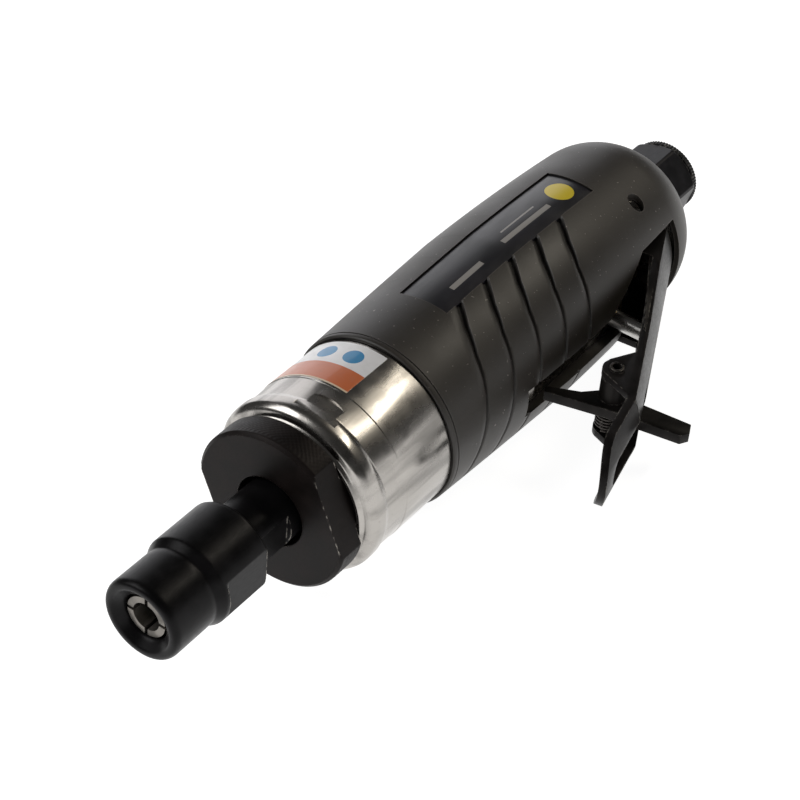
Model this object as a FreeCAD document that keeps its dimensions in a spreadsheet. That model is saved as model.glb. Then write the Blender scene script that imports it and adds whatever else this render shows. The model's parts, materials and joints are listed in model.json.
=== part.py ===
"""Straight pneumatic die grinder with a safety lever, built piece by piece.

The tool frame has +X along the spindle towards the collet, +Y towards the lever and +Z across it.
Stations along the tool are distances back from the face of the collet, so a station s lies at X = -s.
The finished tool lies on its side: it is rolled about X until the barrel of the grip and the lever, or
the latch where that reaches lower, both stand on the table at Z = 0.
"""
import FreeCAD
import Part
import Sketcher
import math
import os
import re

from FreeCAD import Placement, Rotation, Vector

DIMENSIONS = {
    # collet, nut and spindle
    "collet_bore": 3.0,
    "collet_nose": 4.35,
    "collet_body": 5.3,
    "collet_tail": 4.4,
    "collet_end": 20.0,
    "nut_front": -1.6,
    "nut_nose": 8.6,
    "nut_body": 9.5,
    "nut_shoulder": 10.0,
    "nut_end": 24.0,
    "nut_flats": 8.4,
    "spindle_front": 9.8,
    "spindle_thread": 6.5,
    "spindle_neck": 6.6,
    "spindle_collar": 5.9,
    "spindle_flats": 5.5,
    "running_gap": 0.05,
    "shank_bore": 3.2,
    # clamp nut and bearings
    "clamp_face": 35.3,
    "clamp_rim": 17.2,
    "clamp_hole": 7.6,
    "clamp_flats": 14.6,
    "clamp_back": 41.4,
    "clamp_thread": 15.4,
    "clamp_end": 51.6,
    "front_journal": 5.0,
    "front_race": 13.0,
    "front_bearing": 43.5,
    "front_width": 8.0,
    "rear_journal": 3.5,
    "rear_race": 9.5,
    "rear_bearing": 115.5,
    "rear_width": 6.0,
    # motor
    "motor_bore": 13.0,
    "front_plate": 52.2,
    "plate_width": 5.4,
    "liner_front": 57.7,
    "liner_end": 112.3,
    "liner_bore": 10.9,
    "liner_offset": 1.0,
    "rotor_radius": 9.6,
    "rotor_front": 58.0,
    "rotor_end": 112.0,
    "rear_plate": 112.4,
    "motor_end": 121.7,
    # housing and grip
    "housing_front": 41.8,
    "housing_lip": 16.7,
    "bead_radius": 18.85,
    "bead_station": 46.0,
    "barrel_radius": 18.6,
    "housing_flats": 18.1,
    "flats_front": 45.4,
    "flats_turn": 85.0,
    "core_radius": 18.4,
    "grip_front": 68.1,
    "grip_lip": 19.3,
    "grip_belly": 20.9,
    "grip_waist": 108.0,
    "grip_shoulder": 19.45,
    "grip_rear": 152.0,
    "crown_station": 160.6,
    "crown_radius": 16.15,
    "grip_end": 165.9,
    "grip_hole": 9.6,
    "grip_inner": 18.45,
    # air inlet
    "inlet_start": 153.5,
    "hex_start": 166.1,
    "hex_end": 177.2,
    "inlet_end": 178.6,
    "hex_flats": 16.0,
    "hex_corner": 9.04,
    "hex_turn": 45.0,
    "inlet_rim": 8.3,
    "inlet_thread": 7.4,
    "tapping_bore": 5.55,
    "tapping_end": 165.0,
    "air_bore": 4.0,
    # lever
    "pivot_station": 144.0,
    "pivot_height": 10.9,
    "pivot_pin": 1.5,
    "lever_slope": 24.5,
    "paddle_slope": 12.2,
    "bend_station": 99.5,
    "bend_height": 41.85,
    "paddle_length": 19.3,
    "lever_half": 8.4,
    "root_half": 9.3,
    "lever_arch": 20.0,
    "lever_sheet": 1.6,
    "slot_half": 3.2,
    "thumb_height": 50.0,
    # latch
    "latch_station": 104.4,
    "latch_height": 32.3,
    "latch_pin": 1.5,
    "latch_half": 1.2,
    "latch_hub": 2.8,
    # throttle valve
    "valve_station": 127.0,
    "stem_radius": 1.9,
    "stem_top": 27.15,
    "bushing_radius": 4.2,
    "chamber_radius": 4.1,
    # nameplate
    "plate_front": 84.5,
    "plate_rear": 137.4,
    "plate_half": 5.6,
    "plate_turn": 5.0,
}

doc = FreeCAD.newDocument("die_grinder")
sheet = doc.addObject("Spreadsheet::Sheet", "Dims")
for row, (alias, value) in enumerate(DIMENSIONS.items(), 1):
    sheet.set(f"A{row}", alias)
    sheet.set(f"B{row}", str(value))
    sheet.setAlias(f"B{row}", alias)
doc.recompute()

nodes = []


def size(text):
    """Value of a sheet expression, such as "nut_body - 0.5"."""
    return float(sheet.evalExpression(bound(text)))


def bound(text):
    """The same expression with every alias pointed at the sheet."""
    return re.sub(r"[a-z]+_[a-z_]+", r"Dims.\g<0>", str(text))


def at(station, height=0.0, across=0.0):
    """Point of the tool frame at a station, a height towards the lever and a place across it."""
    return Vector(-station, height, across)


# ---------------------------------------------------------------- PartDesign helpers

def new_body(label):
    body = doc.addObject("PartDesign::Body", label)
    body.Label = label
    nodes.append(body)
    return body


def new_sketch(body, role, name, offset=None):
    """Sketch on one of the body's own origin planes, moved along its normal by an expression."""
    sketch = body.newObject("Sketcher::SketchObject", name)
    plane = next(f for f in body.Origin.OriginFeatures if f.Role == role)
    sketch.AttachmentSupport = [(plane, "")]
    sketch.MapMode = "FlatFace"
    if offset is not None:
        sketch.setExpression("AttachmentOffset.Base.z", bound(offset))
    doc.recompute()
    return sketch


def add_outline(sketch, corners):
    """Closed outline. A corner is (x, y) or (x, y, radius), where radius bends the edge that leaves it:
    a positive radius turns left on the way to the next corner and a negative one turns right."""
    first = sketch.GeometryCount
    spots = [Vector(size(c[0]), size(c[1]), 0) for c in corners]
    ends = []
    for i, corner in enumerate(corners):
        start, end = spots[i], spots[(i + 1) % len(spots)]
        if len(corner) == 2:
            sketch.addGeometry(Part.LineSegment(start, end), False)
            ends.append((1, 2))
            continue
        radius = size(corner[2])
        chord = end - start
        side = Vector(-chord.y, chord.x, 0).normalize() * math.copysign(1, radius)
        depth = math.sqrt(radius ** 2 - (chord.Length / 2) ** 2)
        centre = (start + end) * 0.5 + side * depth
        middle = centre - side * abs(radius)
        if radius > 0:
            sketch.addGeometry(Part.Arc(start, middle, end), False)
            ends.append((1, 2))
        else:
            sketch.addGeometry(Part.Arc(end, middle, start), False)
            ends.append((2, 1))
    for i, corner in enumerate(corners):
        after = (i + 1) % len(corners)
        sketch.addConstraint(Sketcher.Constraint(
            "Coincident", first + i, ends[i][1], first + after, ends[after][0]))
        for kind, text, value in (("DistanceX", corner[0], spots[i].x),
                                  ("DistanceY", corner[1], spots[i].y)):
            index = sketch.addConstraint(Sketcher.Constraint(
                kind, -1, 1, first + i, ends[i][0], value))
            sketch.setExpression(f"Constraints[{index}]", bound(text))
        if len(corner) == 3:
            index = sketch.addConstraint(Sketcher.Constraint(
                "Radius", first + i, abs(size(corner[2]))))
            sketch.setExpression(f"Constraints[{index}]", bound(f"abs({corner[2]})"))


def revolve(body, name, corners):
    """Adds the outline, given as (station, radius) corners, turned about the spindle axis."""
    sketch = new_sketch(body, "XY_Plane", name + "_profile")
    add_outline(sketch, [(f"-({c[0]})",) + tuple(c[1:]) for c in corners])
    feature = body.newObject("PartDesign::Revolution", name)
    feature.Profile = sketch
    feature.ReferenceAxis = (sketch, ["H_Axis"])
    feature.Angle = 360
    doc.recompute()
    return feature


def turned(label, corners):
    body = new_body(label)
    revolve(body, label + "_turned", corners)
    return body


def cut_across(body, name, station, length, outlines, circles=()):
    """Pocket that starts at a station and runs back along the tool by a length. Its outlines and
    circles are seen from the front, as (towards lever, across)."""
    before = body.Shape.Volume
    sketch = new_sketch(body, "YZ_Plane", name + "_shape", f"-({station})")
    for corners in outlines:
        add_outline(sketch, corners)
    for height, across, radius in circles:
        add_circle(sketch, height, across, radius)
    pocket = body.newObject("PartDesign::Pocket", name)
    pocket.Profile = sketch
    pocket.setExpression("Length", bound(length))
    doc.recompute()
    if body.Shape.Volume > before - 0.01:
        raise RuntimeError(f"{name} cuts nothing")
    return pocket


def add_circle(sketch, height, across, radius):
    centre = Vector(size(height), size(across), 0)
    circle = sketch.addGeometry(Part.Circle(centre, Vector(0, 0, 1), size(radius)), False)
    for kind, text, value in (("DistanceX", height, centre.x), ("DistanceY", across, centre.y)):
        index = sketch.addConstraint(Sketcher.Constraint(kind, -1, 1, circle, 3, value))
        sketch.setExpression(f"Constraints[{index}]", bound(text))
    index = sketch.addConstraint(Sketcher.Constraint("Radius", circle, size(radius)))
    sketch.setExpression(f"Constraints[{index}]", bound(radius))


def rectangle(low_y, high_y, low_z, high_z):
    return [(low_y, low_z), (high_y, low_z), (high_y, high_z), (low_y, high_z)]


def cut_flats(body, name, station, length, across, reach):
    """Two parallel wrench flats at a half width, on a turned piece of the given reach."""
    cut_across(body, name, station, length, [
        rectangle(across, reach, f"-({reach})", reach),
        rectangle(f"-({reach})", f"-({across})", f"-({reach})", reach)])


# ---------------------------------------------------------------- Part helpers

def new_solid(label, shape):
    """A piece that is bent, moulded or wound: its shape is worked out here from the sheet."""
    feature = doc.addObject("Part::Feature", label)
    feature.Label = label
    feature.Shape = shape.removeSplitter() if shape.ShapeType != "Compound" else shape
    nodes.append(feature)
    return feature


def prism(corners, low, high):
    """Block with an outline of (station, height) corners, from one place across to another."""
    wire = Part.makePolygon([at(s, h, low) for s, h in corners + corners[:1]])
    return Part.Face(wire).extrude(Vector(0, 0, high - low))


def disc(station, height, radius, low, high):
    return Part.makeCylinder(radius, high - low, at(station, height, low), Vector(0, 0, 1))


def post(station, radius, low, high):
    """Cylinder that stands towards the lever, between two heights."""
    return Part.makeCylinder(radius, high - low, at(station, low), Vector(0, 1, 0))


def ring(station, length, inner, outer):
    """Tube about the spindle axis that runs back from a station."""
    tube = Part.makeCylinder(outer, length, at(station), Vector(-1, 0, 0))
    return tube.cut(Part.makeCylinder(inner, length, at(station), Vector(-1, 0, 0)))


def coil(radius, wire, pitch, turns, placement):
    """Round wire wound about Z from Z = 0, then placed."""
    path = Part.makeHelix(pitch, pitch * turns, radius)
    section = Part.Wire(Part.Circle(Vector(radius, 0, 0), Vector(0, 1, 0), wire).toShape())
    shape = Part.Wire(path.Edges).makePipeShell([section], True, True)
    shape.Placement = placement
    return shape


# ---------------------------------------------------------------- front end

def make_collet():
    """Split collet: a steep nose cone for the nut and a long tail taper for the spindle."""
    body = turned("collet", [
        (0.2, "collet_bore"), (0.2, "collet_nose"), (3.0, "collet_body"), (9.5, "collet_body"),
        ("collet_end", "collet_tail"), ("collet_end", "collet_bore")])
    slit = 0.35
    arms = [rectangle(-7, 7, -slit, slit), rectangle(-slit, slit, -7, 7)]
    for number, arm in enumerate(arms):
        cut_across(body, f"collet_slit_{number}", 0, 15, [arm])


def make_collet_nut():
    """Stepped nut with a dished mouth, two wrench flats and a cone that closes the collet."""
    body = turned("collet_nut", [
        (0.0, "collet_nose + 0.25"), ("nut_front + 0.5", 6.0), ("nut_front", 6.7),
        ("nut_front", "nut_nose - 1"), ("nut_front + 1", "nut_nose"), ("nut_shoulder", "nut_nose"),
        ("nut_shoulder + 1.6", "nut_body"), ("nut_end - 0.8", "nut_body"), ("nut_end", "nut_body - 0.8"),
        ("nut_end", "spindle_thread + running_gap"), ("spindle_front - 0.2", "spindle_thread + running_gap"),
        ("spindle_front - 0.2", "collet_body + 0.3"), (3.0, "collet_body + 0.15")])
    cut_flats(body, "nut_wrench_flats", "nut_shoulder + 2.6", 12, "nut_flats", 12)


def make_spindle():
    """Spindle in one piece with the rotor shaft: threaded nose, wrench flats and two journals."""
    body = turned("spindle", [
        ("spindle_front", "collet_body + running_gap"), ("spindle_front", "spindle_thread - 0.5"),
        ("spindle_front + 0.5", "spindle_thread"), ("nut_end + 0.6", "spindle_thread"),
        ("nut_end + 0.6", "spindle_neck"), (41.0, "spindle_neck"), (41.0, "spindle_collar"),
        ("front_bearing", "spindle_collar"), ("front_bearing", "front_journal"),
        ("front_plate - 0.2", "front_journal"), ("front_plate - 0.2", 4.5), ("rotor_end + 0.2", 4.5),
        ("rotor_end + 0.2", "rear_journal"), (121.2, "rear_journal"), (121.2, 0), (38.0, 0),
        (36.0, "shank_bore"), ("collet_end + 0.3", "shank_bore"),
        ("collet_end + 0.3", "collet_tail + running_gap")])
    cut_flats(body, "spindle_wrench_flats", 25.5, 8, "spindle_flats", 8)


def make_clamp_nut():
    """Ring that closes the motor and carries the front bearing."""
    body = turned("clamp_nut", [
        ("clamp_face", "clamp_hole"), ("clamp_face", "clamp_rim - 1"), ("clamp_face + 1", "clamp_rim"),
        ("clamp_back", "clamp_rim"), ("clamp_back", "clamp_thread"), ("clamp_end", "clamp_thread"),
        ("clamp_end", "front_race + 0.02"), ("front_bearing - 0.1", "front_race + 0.02"),
        ("front_bearing - 0.1", 11.4), (41.0, 11.4), (41.0, "clamp_hole")])
    cut_flats(body, "clamp_wrench_flats", "clamp_face", "clamp_back - clamp_face", "clamp_flats", 19)
    body.Placement = Placement(Vector(), Rotation(Vector(1, 0, 0), 25))


def make_bearing(name, station, width, bore, outer):
    """Ball bearing in three pieces: outer race, inner race, and the set of balls."""
    wall = f"({outer} - {bore}) * 0.27"
    turned(name + "_outer_race", [
        (station, f"{outer} - {wall}"), (station, f"{outer}"),
        (f"{station} + {width}", f"{outer}"), (f"{station} + {width}", f"{outer} - {wall}")])
    turned(name + "_inner_race", [
        (station, f"{bore} + 0.01"), (station, f"{bore} + {wall}"),
        (f"{station} + {width}", f"{bore} + {wall}"), (f"{station} + {width}", f"{bore} + 0.01")])
    pitch = size(f"({outer} + {bore}) / 2")
    ball = size(f"({outer} - {bore}) * 0.22")
    middle = size(f"{station} + {width} / 2")
    balls = []
    for number in range(7):
        angle = 2 * math.pi * number / 7
        centre = at(middle, pitch * math.cos(angle), pitch * math.sin(angle))
        balls.append(Part.makeSphere(ball, centre))
    new_solid(name + "_balls", Part.makeCompound(balls))


def make_felt():
    """Felt ring that keeps dust out of the front bearing."""
    new_solid("dust_felt", ring(41.1, 2.2, 6.1, 11.3))


# ---------------------------------------------------------------- motor

def make_motor():
    """End plates, liner with an eccentric chamber, slotted rotor, four vanes and the liner's dowel."""
    turned("front_end_plate", [
        ("front_plate", 4.7), ("front_plate", "motor_bore - running_gap"),
        ("front_plate + plate_width", "motor_bore - running_gap"), ("front_plate + plate_width", 4.7)])
    rear = turned("rear_end_plate", [
        ("rear_plate", 4.0), ("rear_plate", "motor_bore - running_gap"),
        ("motor_end - 0.1", "motor_bore - running_gap"), ("motor_end - 0.1", "rear_race + 0.02"),
        ("rear_bearing - 0.1", "rear_race + 0.02"), ("rear_bearing - 0.1", 4.0)])
    cut_across(rear, "air_port", "rear_plate", 12, [], [(11.2, 0, 1.2)])
    liner = turned("cylinder_liner", [
        ("liner_front", 0), ("liner_front", "motor_bore - running_gap"),
        ("liner_end", "motor_bore - running_gap"), ("liner_end", 0)])
    cut_across(liner, "liner_chamber", "liner_front", "liner_end - liner_front", [],
               [("-liner_offset", 0, "liner_bore")])
    cut_across(liner, "dowel_hole", "liner_end - 8", 8, [], [(0, 12.1, 0.55)])
    rotor = turned("rotor", [
        ("rotor_front", 4.51), ("rotor_front", "rotor_radius"),
        ("rotor_end", "rotor_radius"), ("rotor_end", 4.51)])
    for number, (turn_y, turn_z) in enumerate(((1, 0), (0, 1), (-1, 0), (0, -1))):
        low, high, half = 5.2, 10.5, 0.85
        span = sorted((low * (turn_y + turn_z), high * (turn_y + turn_z)))
        slot = rectangle(*span, -half, half) if turn_y else rectangle(-half, half, *span)
        cut_across(rotor, f"vane_slot_{number}", "rotor_front", "rotor_end - rotor_front", [slot])
        vane = Part.makeBox(53.6, 4.5, 1.5, Vector(-size("rotor_end") + 0.2, 5.3, -0.75))
        vane.rotate(Vector(), Vector(1, 0, 0), 90 * number)
        new_solid(f"vane_{number + 1}", vane)
    new_solid("dowel_pin", Part.makeCylinder(
        0.5, 7.8, at(size("liner_end") - 7.9, 0, 12.1), Vector(-1, 0, 0)))


# ---------------------------------------------------------------- housing and grip

def lever_pocket():
    """Room for the root of the lever, open towards it."""
    outline = [(129.3, 30), (129.3, 12), (133.5, 7.2), (148.5, 7.2), (151.6, 10), (151.6, 30)]
    return prism(outline, -10.4, 10.4)


def latch_pocket(floor):
    """Slot that the lower end of the latch swings down into once it is off its ledge."""
    return prism([(97.4, 30), (97.4, floor), (117.0, floor), (119.0, 30)], -3.4, 3.4)


# inside of the grip's domed end, as (station, radius); the housing follows it a little further in
DOME_HOLLOW = ((151.0, 18.45), (153.2, 18.05), (158.3, 16.2), (162.4, 12.8), (164.3, 9.9))


def make_housing():
    """Motor housing in one piece with the valve block, hollowed for the lever, the latch and the air."""
    turned_shape = [
        ("housing_front", "clamp_thread + running_gap"), ("housing_front", "housing_lip - 0.5"),
        ("housing_front + 0.5", "housing_lip"), ("housing_front + 2.6", "bead_radius"),
        ("bead_station + 1.6", "bead_radius"), ("bead_station + 2.4", "barrel_radius"),
        (57.0, "barrel_radius"), (57.0, "barrel_radius - 0.6"), (58.2, "barrel_radius - 0.6"),
        (58.2, "barrel_radius"), ("grip_front - 0.3", "barrel_radius"), ("grip_front - 0.3", "core_radius")]
    turned_shape += [(station - 0.1, radius - 0.06) for station, radius in DOME_HOLLOW]
    turned_shape += [
        (164.2, "grip_hole - 0.3"), ("grip_end - 0.1", "grip_hole - 0.3"),
        ("grip_end - 0.1", "inlet_thread + 0.05"), ("inlet_start", "inlet_thread + 0.05"),
        ("inlet_start", "air_bore"), ("valve_station", "air_bore"),
        ("valve_station", 0), ("motor_end", 0), ("motor_end", "motor_bore"),
        ("clamp_end + 0.3", "motor_bore"), ("clamp_end + 0.3", "clamp_thread + running_gap")]
    body = turned("motor_housing_blank", turned_shape)
    cut_flats(body, "housing_wrench_flats", "flats_front", 5.5, "housing_flats", 20)
    doc.recompute()
    shape = body.Shape.copy()
    shape.rotate(Vector(), Vector(1, 0, 0), size("flats_turn"))
    nodes.remove(body)
    well = size("valve_station")
    shape = shape.cut(lever_pocket())
    shape = shape.cut(latch_pocket(13.75))
    shape = shape.cut(post(well, size("bushing_radius + 0.03"), 5.9, 30))
    shape = shape.cut(post(well, size("chamber_radius"), -13.0, 6.0))
    shape = shape.cut(post(well, 5.02, -20.0, -11.6))
    shape = shape.cut(Part.makeCylinder(1.8, 8, at(120.5, 10.2), Vector(-1, 0, 0)))
    pin = size("pivot_pin")
    shape = shape.cut(disc(size("pivot_station"), size("pivot_height"), pin + 0.02, -20, 20))
    new_solid("motor_housing", shape)


def grip_profile(offset):
    """Outside of the grip, drawn in by an offset: a long belly and a domed rear end."""
    front = at(size("grip_front"), size("grip_lip") - offset)
    belly = at(size("grip_waist"), size("grip_belly") - offset)
    shoulder = at(size("grip_rear"), size("grip_shoulder") - offset)
    quarter = at(87.0, 20.12 - offset)
    haunch = at(134.0, 20.42 - offset)
    return [Part.Arc(front, quarter, belly).toShape(), Part.Arc(belly, haunch, shoulder).toShape()]


def make_grip():
    """Moulded sleeve over the housing, cut away under the lever and closed round the inlet."""
    outer = grip_profile(0.0)
    shoulder = at(size("grip_rear"), size("grip_shoulder"))
    crown = at(size("crown_station"), size("crown_radius"))
    end, hole = size("grip_end"), size("grip_hole")
    rim = at(end - 0.3, hole + 0.4)
    inlet = [rim, at(end, hole + 0.25), at(end, hole), at(DOME_HOLLOW[-1][0], hole)]
    inner = [at(station, radius) for station, radius in reversed(DOME_HOLLOW)]
    inner += [at(size("grip_front"), size("grip_inner")), at(size("grip_front"), size("grip_lip"))]
    edges = outer + [Part.Arc(shoulder, crown, rim).toShape()]
    edges += Part.makePolygon(inlet + inner).Edges
    shape = Part.Face(Part.Wire(edges)).revolve(Vector(), Vector(1, 0, 0), 360)
    mouth = [(92.2, 30), (92.2, 5), (151.9, 5), (151.9, 30)]
    shape = shape.cut(prism(mouth, -3.4, 3.4))
    for side in (-1, 1):
        wing = Part.Face(Part.makePolygon([
            at(122.0, 5, 3.3 * side), at(138.0, 5, 10.5 * side), at(151.9, 5, 10.5 * side),
            at(151.9, 5, 3.3 * side), at(122.0, 5, 3.3 * side)])).extrude(Vector(0, 25, 0))
        shape = shape.cut(wing)
    far_flange = prism([(129.0, 30), (129.0, 5), (140.0, 5), (140.0, 30)], -10.5, -3.0)
    shape = shape.cut(far_flange)
    shape = shape.cut(disc(size("pivot_station"), size("pivot_height"), 1.9, -24, 24))
    shape = shape.cut(name_panel(1.2, 4.0, 0.08))
    new_solid("grip_sleeve", shape)


def name_panel(depth, height, gap):
    """Curved panel that follows the grip, from a depth under its surface up by a height."""
    low = grip_profile(depth)
    high = grip_profile(depth - height)
    ends = [low[0].Vertexes[0].Point, high[0].Vertexes[0].Point, high[1].Vertexes[-1].Point,
            low[1].Vertexes[-1].Point]
    outline = Part.Wire([Part.makeLine(ends[0], ends[1])] + high
                        + [Part.makeLine(ends[2], ends[3])] + [low[1], low[0]])
    band = Part.Face(outline).revolve(Vector(), Vector(1, 0, 0), 360)
    half = size("plate_half") + gap
    front = size("plate_front") - gap
    length = size("plate_rear") + gap - front
    block = Part.makeBox(length, 2 * half, 30, Vector(-front - length, -half, 0))
    panel = band.common(block)
    panel.rotate(Vector(), Vector(1, 0, 0), size("plate_turn"))
    return panel


def make_nameplate():
    new_solid("nameplate", name_panel(1.15, 0.75, 0.0))


# ---------------------------------------------------------------- air inlet

def make_inlet():
    """Bushing for the air fitting, with a hexagon and a round rim, and its strainer."""
    body = turned("inlet_bushing", [
        ("inlet_start + 0.2", "air_bore"), ("inlet_start + 0.2", "inlet_thread"),
        ("hex_start", "inlet_thread"), ("hex_start", "hex_corner"), ("hex_end - 1", "hex_corner"),
        ("hex_end", "hex_flats / 2 - 0.3"), ("hex_end", "inlet_rim"), ("inlet_end - 0.3", "inlet_rim"),
        ("inlet_end", "inlet_rim - 0.3"), ("inlet_end", "tapping_bore"), ("tapping_end", "tapping_bore"),
        ("tapping_end - 1", "air_bore")])
    apothem = size("hex_flats") / 2
    for number in range(6):
        turn = math.radians(60 * number + size("hex_turn"))
        corners = []
        for out, along in ((apothem, -6), (12, -6), (12, 6), (apothem, 6)):
            corners.append((out * math.cos(turn) - along * math.sin(turn),
                            out * math.sin(turn) + along * math.cos(turn)))
        cut_across(body, f"inlet_hex_{number}", "hex_start", "hex_end - hex_start", [corners])
    start = size("inlet_start") + 0.6
    strainer = ring(start, 4.2, 2.9, 3.9).fuse(Part.makeCylinder(3.9, 0.6, at(start), Vector(-1, 0, 0)))
    for step in range(4):
        for number in range(6):
            turn = 60 * number + 30 * (step % 2)
            hole = Part.makeCylinder(0.35, 6, at(start + 1.1 + 0.8 * step), Vector(0, 1, 0))
            hole.rotate(Vector(), Vector(1, 0, 0), turn)
            strainer = strainer.cut(hole)
    new_solid("inlet_strainer", strainer)


# ---------------------------------------------------------------- lever and latch

def lever_band(origin, slope, plan):
    """Arched strip of sheet along a slope, cut to a plan face, with its crown line through origin."""
    arch = size("lever_arch")
    tube = ring(-25.0, 90.0, arch - size("lever_sheet"), arch)
    tube.translate(Vector(0, -arch, 0))
    solid = tube.common(plan.extrude(Vector(0, 12, 0)))
    solid.rotate(Vector(), Vector(0, 0, 1), slope)
    solid.translate(origin)
    return solid


def plan_face(corners):
    """Face seen along the sheet's normal, from (along, across) corners; along runs to the front."""
    return Part.Face(Part.makePolygon([Vector(a, -6, c) for a, c in corners + corners[:1]]))


def make_lever():
    """Stamped lever: arched web and paddle, side flanges at the root and ears for the latch pin."""
    half = size("lever_half")
    root = size("root_half")
    bend = at(size("bend_station"), size("bend_height"))
    web_slope = size("lever_slope")
    paddle_slope = size("paddle_slope")
    web_plan = plan_face([
        (-55.5, -root), (-43, -root), (-24, -half), (0.2, -half),
        (0.2, half), (-24, half), (-43, root), (-55.5, root)])
    web = lever_band(bend, web_slope, web_plan)
    straight = size("paddle_length") - half
    corners = [Vector(straight, -6, -half), Vector(0, -6, -half),
               Vector(0, -6, half), Vector(straight, -6, half)]
    tip = Part.Arc(corners[3], Vector(straight + half, -6, 0), corners[0]).toShape()
    paddle_plan = Part.Face(Part.Wire(Part.makePolygon(corners).Edges + [tip]))
    paddle = lever_band(bend, paddle_slope, paddle_plan)
    shape = web.fuse(paddle)
    sheet_width = size("lever_sheet")
    pivot = (size("pivot_station"), size("pivot_height"))
    flanges = {
        1: [(150.8, 11.0), (150.2, 15.6), (139.7, 20.6), (138.9, 15.6), (141.0, 8.6), (146.5, 8.6)],
        -1: [(150.8, 11.0), (150.2, 15.6), (132.1, 23.9), (131.3, 16.6), (137.0, 10.4), (141.0, 8.6),
             (146.5, 8.6)],
    }
    lip = [(139.8, 20.4), (118.0, 30.6), (118.6, 29.8), (139.4, 18.4)]
    ear = [(112.6, 33.2), (105.9, 29.6), (101.8, 31.0), (99.0, 38.9)]
    hub = (size("latch_station"), size("latch_height"))
    for side, flange in flanges.items():
        inner, outer = sorted((side * root, side * (root - sheet_width)))
        shape = shape.fuse(prism(flange, inner, outer))
        shape = shape.fuse(disc(*pivot, 3.2, inner, outer))
        inner, outer = sorted((side * (root - 0.2), side * (half - sheet_width + 0.2)))
        shape = shape.fuse(prism(lip, inner, outer))
        inner, outer = sorted((side * half, side * (half - sheet_width)))
        shape = shape.fuse(prism(ear, inner, outer))
        shape = shape.fuse(disc(*hub, 2.9, inner, outer))
    slot = size("slot_half")
    cutter = prism([(88.0, 30), (88.0, 60), (110.0, 60), (110.0, 34)], -slot, slot)
    cutter = cutter.fuse(post(88.0, slot, 30, 60))
    shape = shape.cut(cutter)
    shape = shape.cut(disc(*pivot, size("pivot_pin") + 0.05, -20, 20))
    shape = shape.cut(disc(*hub, size("latch_pin"), -20, 20))
    new_solid("lever", shape)


def make_latch():
    """Safety latch: thumb leg through the lever, hub on the roll pin, lower leg to the housing."""
    half = size("latch_half")
    hub = (size("latch_station"), size("latch_height"))
    leg = prism([(98.3, 20.4), (96.7, 21.0), (100.2, 33.5), (101.4, 40.0), (103.2, 49.0),
                 (105.0, size("thumb_height")), (107.4, 48.9), (106.3, 39.0), (105.0, 30.0),
                 (101.5, 26.8)], -half, half)
    shape = leg.fuse(disc(*hub, size("latch_hub"), -half, 6.5))
    shape = shape.fuse(disc(*hub, 2.05, -6.5, 0))
    shape = shape.cut(disc(*hub, size("latch_pin") + 0.05, -20, 20))
    new_solid("latch", shape)
    pin = disc(*hub, size("latch_pin") - 0.02, -9.0, 9.0).cut(disc(*hub, 0.95, -20, 20))
    new_solid("latch_pin", pin)
    turns = 6
    pitch = 0.78
    placement = Placement(at(*hub, -6.35), Rotation())
    new_solid("latch_spring", coil(2.45, 0.32, pitch, turns, placement))
    hinge = disc(size("pivot_station"), size("pivot_height"), size("pivot_pin"), -14.2, 14.2)
    new_solid("lever_pin", hinge)


# ---------------------------------------------------------------- throttle valve

def make_valve():
    """Stem that the lever pushes in, its bushing, its spring, and the plug and seal that close the well."""
    well = size("valve_station")
    stem_radius = size("stem_radius")
    bushing = post(well, size("bushing_radius"), 6.1, 18.0)
    bushing = bushing.cut(post(well, stem_radius + 0.05, 9.0, 20.0)).cut(post(well, 2.9, 5.0, 9.0))
    bushing = bushing.cut(Part.makeCylinder(1.4, 8, at(well, 7.9), Vector(1, 0, 0)))
    new_solid("valve_bushing", bushing)
    shank_top = size("stem_top") - 1.0
    stem = post(well, stem_radius, 12.0, shank_top)
    stem = stem.fuse(Part.makeCone(stem_radius, 0.9, 1.0, at(well, shank_top), Vector(0, 1, 0)))
    stem = stem.fuse(post(well, 1.2, 4.0, 12.0))
    stem = stem.fuse(post(well, 3.7, 3.6, 5.9))
    new_solid("valve_stem", stem)
    spring_place = Placement(at(well, -12.2), Rotation(Vector(1, 0, 0), -90))
    new_solid("valve_spring", coil(2.9, 0.4, 1.9, 8, spring_place))
    plug = post(well, 5.0, -17.4, -12.7).cut(Part.makeBox(8, 1.2, 1.2, at(well + 4, -17.5, -0.6)))
    new_solid("valve_plug", plug)
    seal = Part.makeTorus(4.55, 0.42, at(well, -12.15), Vector(0, 1, 0))
    new_solid("valve_seal", seal)


make_collet()
make_collet_nut()
make_spindle()
make_clamp_nut()
make_bearing("front_bearing", "front_bearing", "front_width", "front_journal", "front_race")
make_bearing("rear_bearing", "rear_bearing", "rear_width", "rear_journal", "rear_race")
make_felt()
make_motor()
make_housing()
make_grip()
make_nameplate()
make_inlet()
make_lever()
make_latch()
make_valve()
doc.recompute()

# ---------------------------------------------------------------- checks, resting place and export

for item in doc.Objects:
    if {"Invalid", "Error"} & set(item.State):
        raise RuntimeError(f"{item.Label}: {item.State}")
for node in nodes:
    if node.Shape.isNull() or not node.Shape.isValid():
        raise RuntimeError(f"{node.Label} has no valid shape")


def lowest(roll):
    """How far the lever and latch reach below the spindle axis once the tool is rolled."""
    turn = Placement(Vector(), Rotation(Vector(1, 0, 0), -roll))
    depths = []
    for node in nodes:
        if node.Label in ("lever", "latch"):
            shape = node.Shape.copy()
            shape.Placement = turn * shape.Placement
            depths.append(-shape.optimalBoundingBox(False).ZMin)
    return max(depths)


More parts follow.
